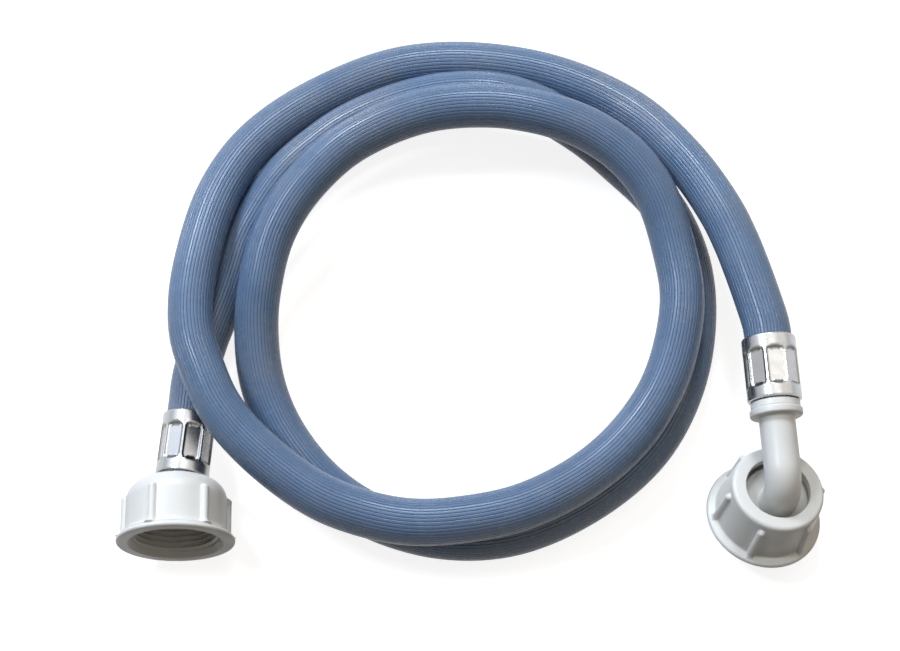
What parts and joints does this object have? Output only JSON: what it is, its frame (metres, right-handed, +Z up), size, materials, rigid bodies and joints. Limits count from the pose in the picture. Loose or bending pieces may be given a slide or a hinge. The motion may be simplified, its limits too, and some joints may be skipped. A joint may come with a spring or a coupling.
{
  "type": "washing machine inlet hose",
  "caption": "Coiled ribbed water inlet hose with crimped metal ferrules, a straight tail and a right-angle elbow, each with a captive three-quarter inch union nut.",
  "frame": {"origin": "on the surface that the hose lies on, midway between the two ends' fittings in plan", "axes": "+X from the straight end towards the elbow end, +Z up, -Y towards the side where the ends leave the coil"},
  "size_m": [0.2224, 0.1797, 0.0382],
  "materials": {
    "hose_rubber": "satin blue-grey, finely ribbed along its length",
    "ferrule_metal": "bright pressed metal",
    "fitting_plastic": "pale grey moulded plastic, slightly glossy",
    "seal_rubber": "matt black"
  },
  "bodies": {
    "hose_assembly": {"hose": "hose_rubber", "straight_ferrule": "ferrule_metal", "elbow_ferrule": "ferrule_metal", "straight_tail": "fitting_plastic", "elbow_tail": "fitting_plastic", "straight_washer": "seal_rubber", "elbow_washer": "seal_rubber"},
    "straight_nut": {"straight_nut": "fitting_plastic"},
    "elbow_nut": {"elbow_nut": "fitting_plastic"}
  },
  "joints": [
    {"name": "straight_nut_turn", "type": "hinge", "parent": "hose_assembly", "child": "straight_nut", "pos_m": [-0.09348, -0.0084, 0.01498], "axis": [0.0361, -0.9853, 0.1668], "continuous": true},
    {"name": "elbow_nut_turn", "type": "hinge", "parent": "hose_assembly", "child": "elbow_nut", "pos_m": [0.09505, -0.01194, 0.02386], "axis": [-0.1214, -0.3145, -0.9415], "continuous": true}
  ]
}
